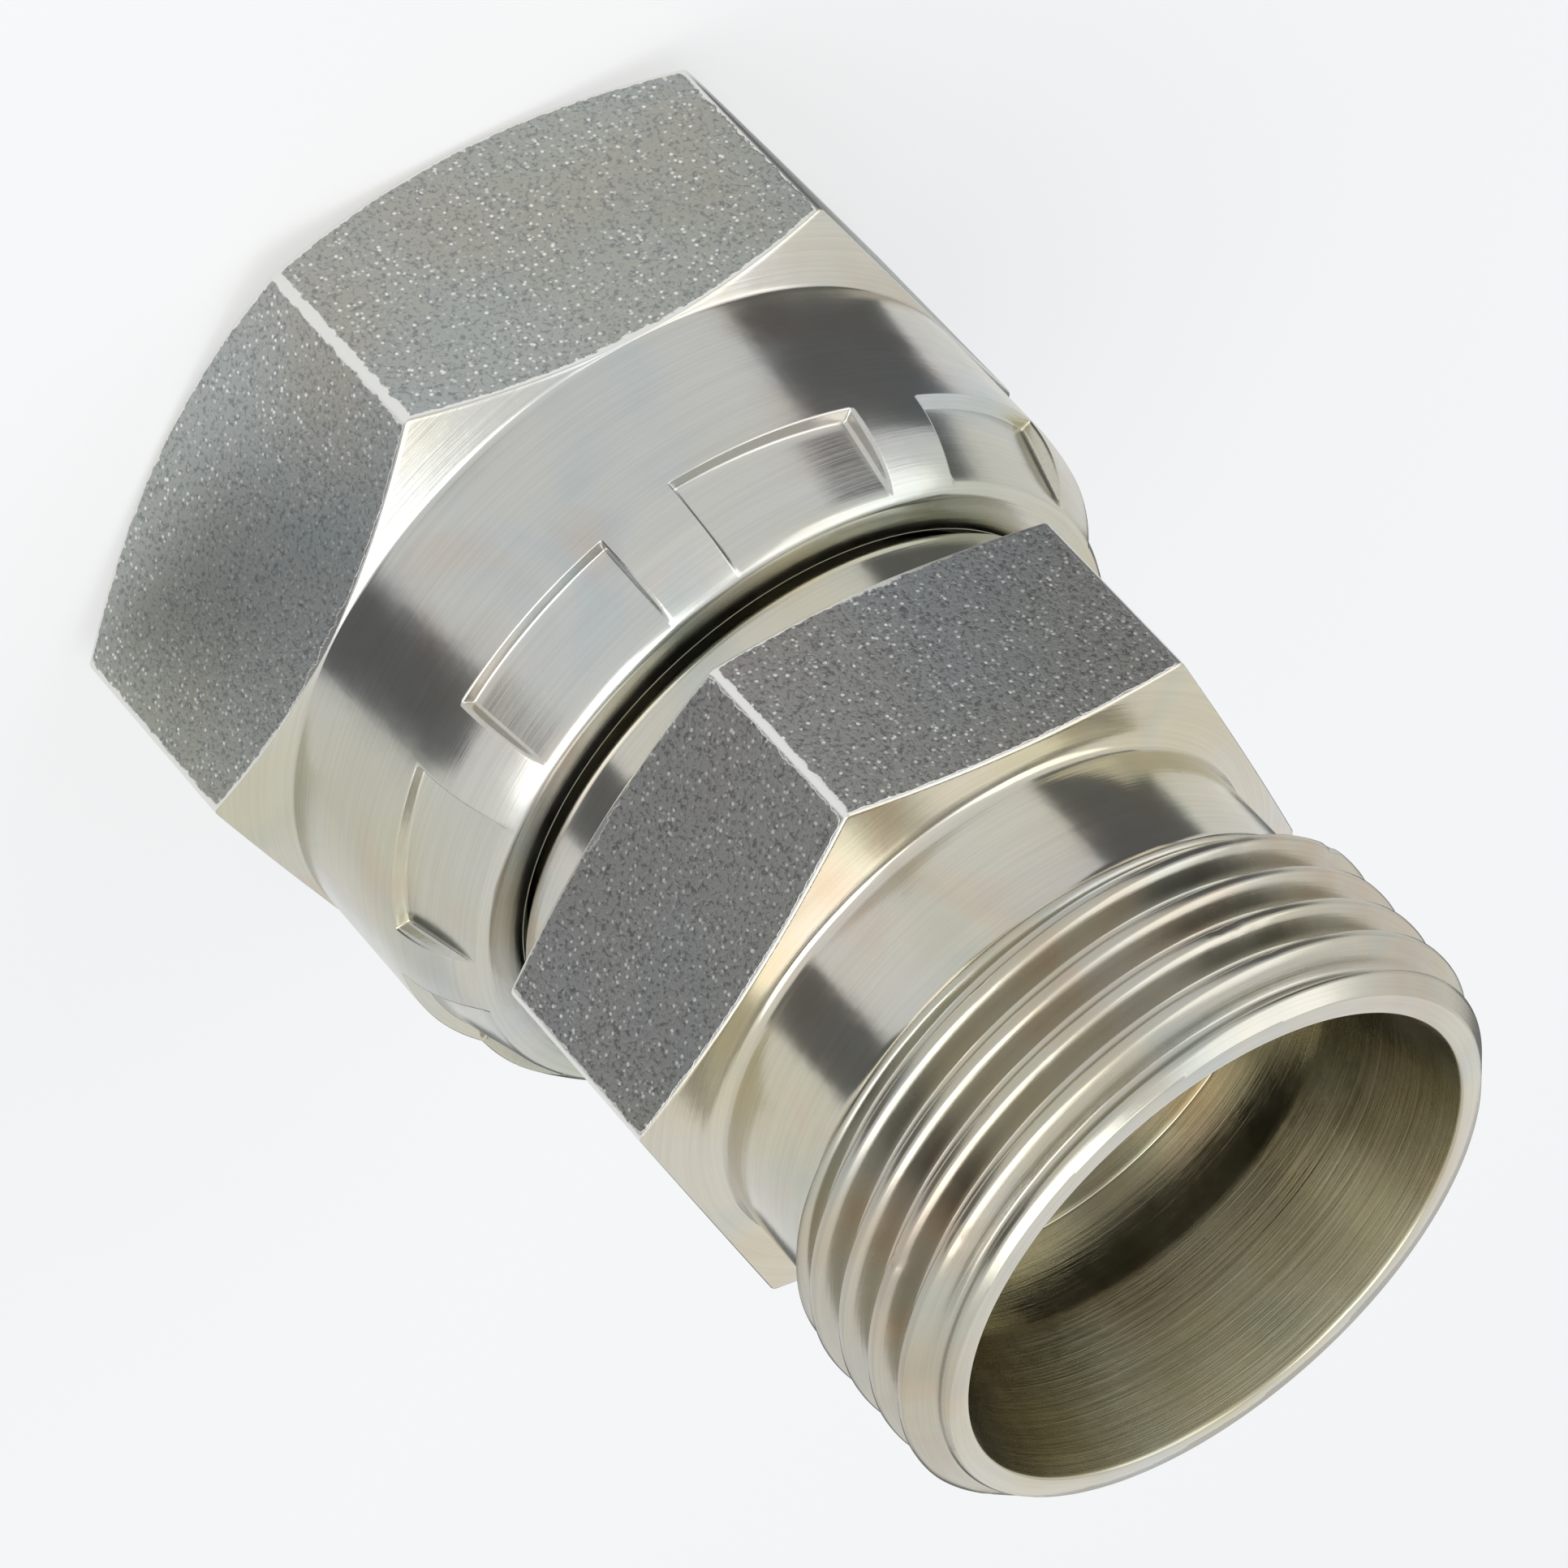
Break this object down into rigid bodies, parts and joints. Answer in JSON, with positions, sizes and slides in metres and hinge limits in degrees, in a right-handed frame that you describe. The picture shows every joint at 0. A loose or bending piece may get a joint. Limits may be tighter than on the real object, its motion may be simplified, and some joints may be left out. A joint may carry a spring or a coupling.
{
  "type": "straight hydraulic adaptor with swivel nut",
  "caption": "Straight steel hydraulic adaptor: hexagon body with a male threaded stub and cone seat, joined to a crimped swivel nut over a sealing cone",
  "frame": {"origin": "centre of the mouth face of the swivel nut, on which the fitting stands", "axes": "+Z along the fitting's axis from the swivel nut to the male thread; +X through one corner of the body's hexagon"},
  "size_m": [0.031, 0.0286, 0.0408],
  "materials": {
    "body_steel": "bright zinc plating with a faint yellow sheen",
    "nut_steel": "bright zinc plating with a faint yellow sheen",
    "seal_rubber": "black nitrile rubber"
  },
  "bodies": {
    "body": {"adaptor_body": "body_steel", "o_ring": "seal_rubber"},
    "nut": {"swivel_nut": "nut_steel"}
  },
  "joints": [
    {"name": "nut_swivel", "type": "hinge", "parent": "body", "child": "nut", "pos_m": [0, 0, 0.0178], "axis": [0, 0, 1], "continuous": true}
  ]
}
